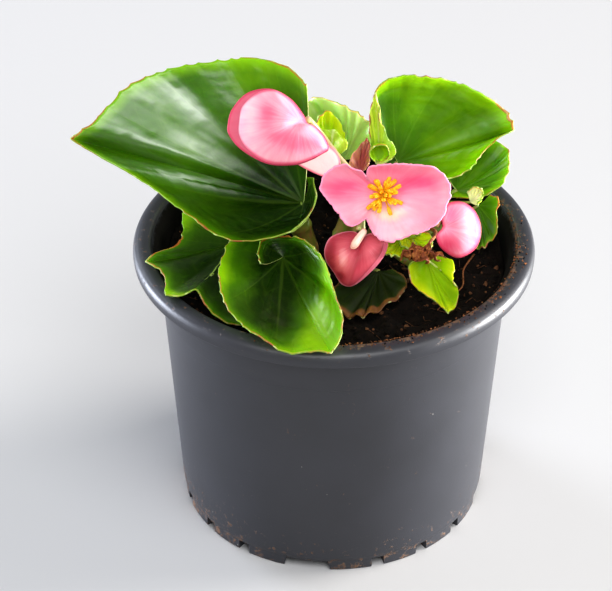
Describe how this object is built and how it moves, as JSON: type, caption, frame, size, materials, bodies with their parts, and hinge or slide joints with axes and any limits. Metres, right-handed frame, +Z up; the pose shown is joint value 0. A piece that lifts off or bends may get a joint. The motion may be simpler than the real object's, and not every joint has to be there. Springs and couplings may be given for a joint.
{
  "type": "potted begonia",
  "caption": "Young flowering begonia in a round tapered nursery pot: large lopsided waxy leaves, an open flower and buds on branching stalks above a lumpy bed of soil.",
  "frame": {"origin": "on the surface that the pot stands on, under the middle of the plant's outline seen from above; the pot's own axis stands 9.5 mm towards +X and 2.5 mm towards +Y of it, because the largest leaf reaches out over the rim towards -X", "axes": "+Z up along the pot, -Y towards the front that shows the open flower, +X to the right of one who looks at that front"},
  "size_m": [0.139, 0.1251, 0.1424],
  "materials": {
    "pot_plastic": "satin",
    "soil": "matte",
    "stem": "satin",
    "leaf": "satin",
    "young_leaf": "satin",
    "stipule": "satin",
    "petal": "satin",
    "stamen": "matte",
    "bud": "satin",
    "withered": "matte"
  },
  "bodies": {
    "root": {"pot": "pot_plastic", "soil": "soil", "stem_middle": "stem", "stem_left": "stem", "stem_right": "stem", "leaf_large_left": "leaf", "leaf_right_upper": "leaf", "leaf_front": "leaf", "leaf_low_left": "leaf", "leaf_back": "leaf", "leaf_young_folded": "young_leaf", "leaf_right_back": "leaf", "leaf_right_low": "leaf", "leaf_young_front": "young_leaf", "leaf_shaded_front": "leaf", "leaf_back_left": "leaf", "leaf_back_right": "leaf", "leaf_bud_right": "young_leaf", "stipule": "stipule", "leaf_shoot": "young_leaf", "flower_petals": "petal", "flower_stamens": "stamen", "flower_stalks": "stem", "bud_large": "bud", "bud_front": "bud", "bud_right": "bud", "bud_small": "bud", "withered_flower": "withered"}
  },
  "joints": []
}
